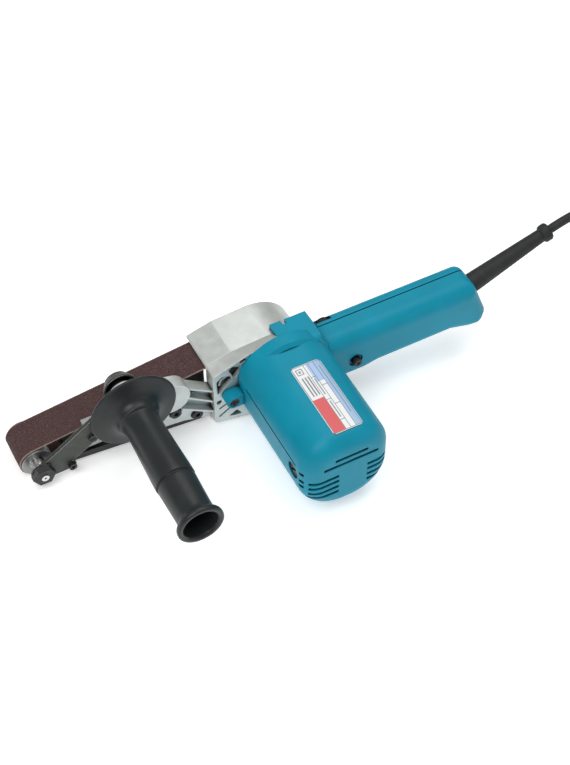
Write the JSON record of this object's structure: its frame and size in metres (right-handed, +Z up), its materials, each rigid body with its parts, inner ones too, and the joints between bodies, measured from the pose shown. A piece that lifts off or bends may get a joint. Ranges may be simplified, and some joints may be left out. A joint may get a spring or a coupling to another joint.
{
  "type": "handheld belt sander",
  "caption": "Handheld narrow belt sander with a tensioned idler arm, cast belt frame, side grip, cross-mounted motor, bar handle with trigger, and mains cord",
  "frame": {"origin": "centre of the tool's footprint, on the surface that the belt's lower run lies on; the free cord is left out", "axes": "+X from the idler to the handle's end, +Y across the belt away from the side grip, +Z up"},
  "size_m": [0.7061, 0.2097, 0.1177],
  "materials": {
    "abrasive": "cloth-backed abrasive grain",
    "grey_steel": "turned steel",
    "bright_steel": "ground steel",
    "black_steel": "black oxide",
    "coated_steel": "grey-green plated steel",
    "cast_aluminium": "die-cast, satin",
    "graphite": "graphite",
    "black_plastic": "moulded",
    "grip_rubber": "glass-filled nylon",
    "black_rubber": "moulded rubber",
    "copper": "enamelled copper",
    "brass": "stamped brass",
    "teal_plastic": "moulded polyamide",
    "plate_sticker": "printed sticker with plain bands, no lettering",
    "board_green": "circuit board",
    "chrome_pin": "nickel plated"
  },
  "bodies": {
    "root": {"abrasive_belt": "abrasive", "side_frame": "cast_aluminium", "slide_guide": "black_steel", "tension_spring": "bright_steel", "shoe": "black_steel", "platen_pad": "graphite", "frame_screws": "black_steel", "side_grip": "grip_rubber", "grip_bolt": "bright_steel", "gear_housing": "cast_aluminium", "belt_cover": "cast_aluminium", "spindle_bearings": "bright_steel", "armature_bearings": "bright_steel", "inner_gear_cover": "cast_aluminium", "fan_baffle": "black_plastic", "field_core": "grey_steel", "field_coils": "copper", "brush_holders": "brass", "carbon_brushes": "graphite", "brush_springs": "bright_steel", "brush_caps": "black_plastic", "motor_housing": "teal_plastic", "handle_cover": "teal_plastic", "handle_screws": "black_steel", "housing_screws": "black_steel", "name_plate": "plate_sticker", "switch_body": "black_plastic", "speed_controller": "board_green", "cord_clamp": "black_plastic", "cord_guard": "black_rubber", "power_cord": "black_rubber", "cord_coil": "black_rubber", "cord_tail": "black_rubber", "plug_body": "black_rubber", "plug_pins": "chrome_pin"},
    "arm": {"tension_arm": "coated_steel", "arm_block": "grey_steel", "arm_screws": "black_steel", "slide_rod": "bright_steel", "idler_axle": "bright_steel", "axle_nut": "black_steel"},
    "idler": {"idler_pulley": "grey_steel", "idler_bearings": "bright_steel"},
    "tracking": {"tracking_screw": "black_steel"},
    "button": {"button_cap": "coated_steel", "button_plunger": "black_plastic"},
    "armature": {"armature_shaft": "bright_steel", "armature_core": "grey_steel", "armature_windings": "copper", "commutator": "copper", "cooling_fan": "black_plastic"},
    "drive": {"drive_spindle": "bright_steel", "drive_pulley": "cast_aluminium", "pulley_lagging": "black_rubber", "pulley_nut": "bright_steel", "drive_gear": "grey_steel"},
    "trigger": {"trigger": "black_plastic"},
    "lock": {"lock_button": "black_plastic"},
    "dial": {"speed_dial": "black_plastic"}
  },
  "joints": [
    {"name": "arm_slide", "type": "slide", "parent": "root", "child": "arm", "axis": [0.994, 0, 0.1092], "range_m": [0, 0.008], "stiffness_N_per_m": 1200, "springref_m": -0.015, "deforming": ["tension_spring"]},
    {"name": "idler_spin", "type": "hinge", "parent": "arm", "child": "idler", "pos_m": [-0.21667, 0.06575, 0.0136], "axis": [0, 1, 0], "continuous": true},
    {"name": "tracking_turn", "type": "hinge", "parent": "arm", "child": "tracking", "pos_m": [-0.1927, 0.03975, 0.0106], "axis": [0, 1, 0], "range_deg": [-180, 180]},
    {"name": "button_press", "type": "slide", "parent": "root", "child": "button", "axis": [0, -1, 0], "range_m": [0, 0.003], "stiffness_N_per_m": 900},
    {"name": "armature_spin", "type": "hinge", "parent": "root", "child": "armature", "pos_m": [-0.0141, -0.01425, 0.04693], "axis": [0, 1, 0], "continuous": true},
    {"name": "drive_spin", "type": "hinge", "parent": "root", "child": "drive", "pos_m": [-0.02641, 0.06575, 0.0345], "axis": [0, 1, 0], "continuous": true},
    {"name": "trigger_pull", "type": "slide", "parent": "root", "child": "trigger", "axis": [-0.1092, 0, 0.994], "range_m": [0, 0.005], "stiffness_N_per_m": 900},
    {"name": "lock_press", "type": "slide", "parent": "root", "child": "lock", "axis": [0, 1, 0], "range_m": [0, 0.003], "stiffness_N_per_m": 500},
    {"name": "dial_turn", "type": "hinge", "parent": "root", "child": "dial", "pos_m": [0.02706, 0.05415, 0.0615], "axis": [0, 1, 0], "range_deg": [-135, 135]}
  ],
  "couplings": [
    {"joint": "drive_spin", "follows": "armature_spin", "ratio": -0.28205},
    {"joint": "idler_spin", "follows": "armature_spin", "ratio": -0.73204}
  ]
}
